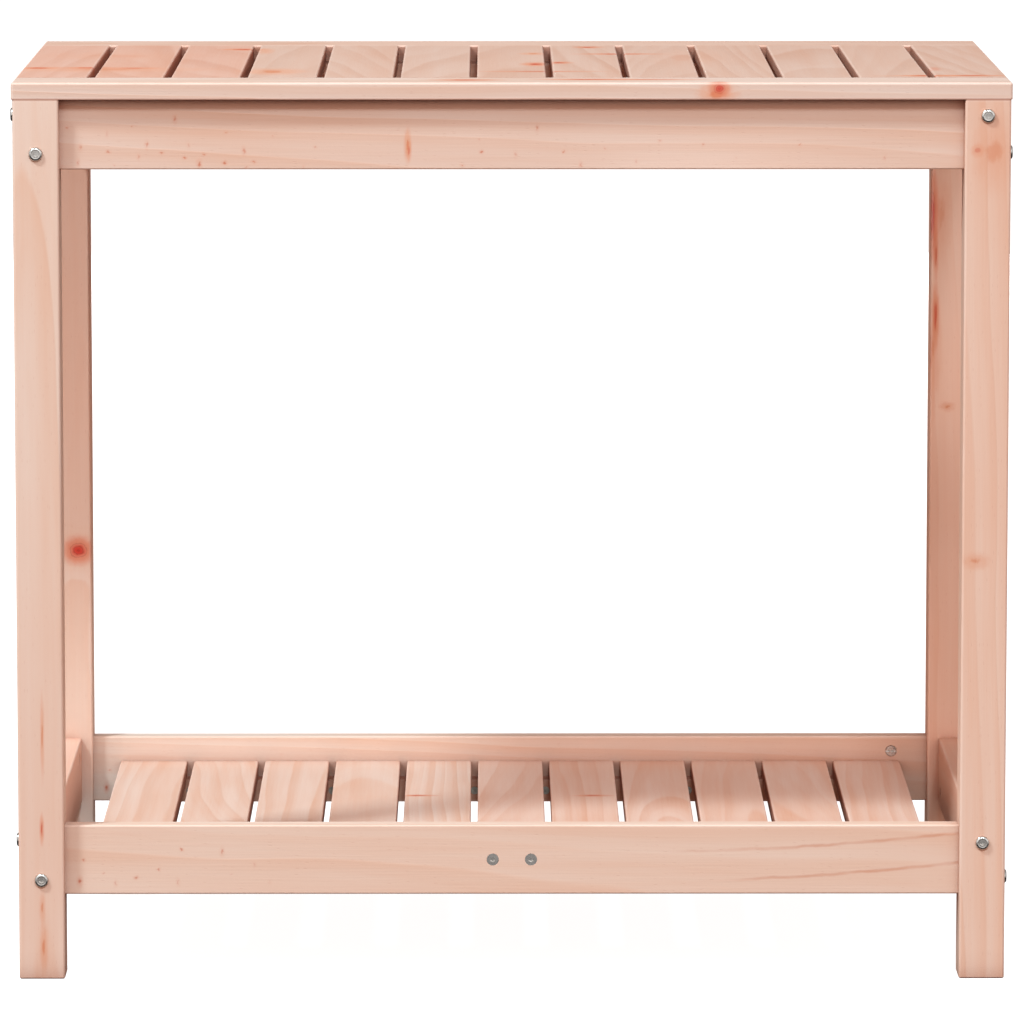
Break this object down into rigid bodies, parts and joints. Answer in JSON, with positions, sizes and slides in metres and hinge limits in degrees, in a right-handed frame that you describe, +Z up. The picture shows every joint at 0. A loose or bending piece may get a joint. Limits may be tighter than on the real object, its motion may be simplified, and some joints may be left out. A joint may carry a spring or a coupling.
{
  "type": "potting bench",
  "caption": "Rectangular softwood garden work table with a slatted top on square legs and a slatted shelf tray between the lower rails.",
  "frame": {"origin": "on the ground under the middle of the bench, where the four feet stand", "axes": "+X along the bench's length to the right as seen from the front, +Y from the front to the back, +Z up"},
  "size_m": [0.828, 0.505, 0.75],
  "materials": {
    "frame_wood": "bare planed softwood, unvarnished, fine grain",
    "top_wood": "bare planed softwood, unvarnished, fine grain",
    "shelf_wood": "bare planed softwood, unvarnished, fine grain",
    "batten_wood": "bare sawn softwood",
    "dowel_wood": "turned hardwood dowel",
    "bolt_zinc": "bright zinc plate",
    "screw_zinc": "dull zinc plate"
  },
  "bodies": {
    "root": {"leg_front_left": "frame_wood", "leg_front_right": "frame_wood", "leg_back_left": "frame_wood", "leg_back_right": "frame_wood", "apron_front": "frame_wood", "apron_back": "frame_wood", "apron_left": "frame_wood", "apron_right": "frame_wood", "lower_rail_front": "frame_wood", "lower_rail_back": "frame_wood", "lower_rail_left": "frame_wood", "lower_rail_right": "frame_wood", "top_strip_front": "top_wood", "top_strip_back": "top_wood", "top_slat_01": "top_wood", "top_slat_02": "top_wood", "top_slat_03": "top_wood", "top_slat_04": "top_wood", "top_slat_05": "top_wood", "top_slat_06": "top_wood", "top_slat_07": "top_wood", "top_slat_08": "top_wood", "top_slat_09": "top_wood", "top_slat_10": "top_wood", "top_slat_11": "top_wood", "top_slat_12": "top_wood", "top_slat_13": "top_wood", "shelf_slat_01": "shelf_wood", "shelf_slat_02": "shelf_wood", "shelf_slat_03": "shelf_wood", "shelf_slat_04": "shelf_wood", "shelf_slat_05": "shelf_wood", "shelf_slat_06": "shelf_wood", "shelf_slat_07": "shelf_wood", "shelf_slat_08": "shelf_wood", "shelf_slat_09": "shelf_wood", "shelf_slat_10": "shelf_wood", "shelf_slat_11": "shelf_wood", "top_batten_front": "batten_wood", "top_batten_back": "batten_wood", "shelf_ledger_front": "batten_wood", "shelf_ledger_back": "batten_wood", "rail_dowels": "dowel_wood", "top_dowels": "dowel_wood", "bolts_long_rails": "bolt_zinc", "bolts_short_rails": "bolt_zinc", "barrel_nuts_long_rails": "bolt_zinc", "barrel_nuts_short_rails": "bolt_zinc", "shelf_end_screws": "bolt_zinc", "batten_screws": "screw_zinc", "shelf_slat_screws": "screw_zinc", "ledger_rail_screws": "screw_zinc", "angle_brackets": "screw_zinc", "bracket_screws": "screw_zinc"}
  },
  "joints": []
}
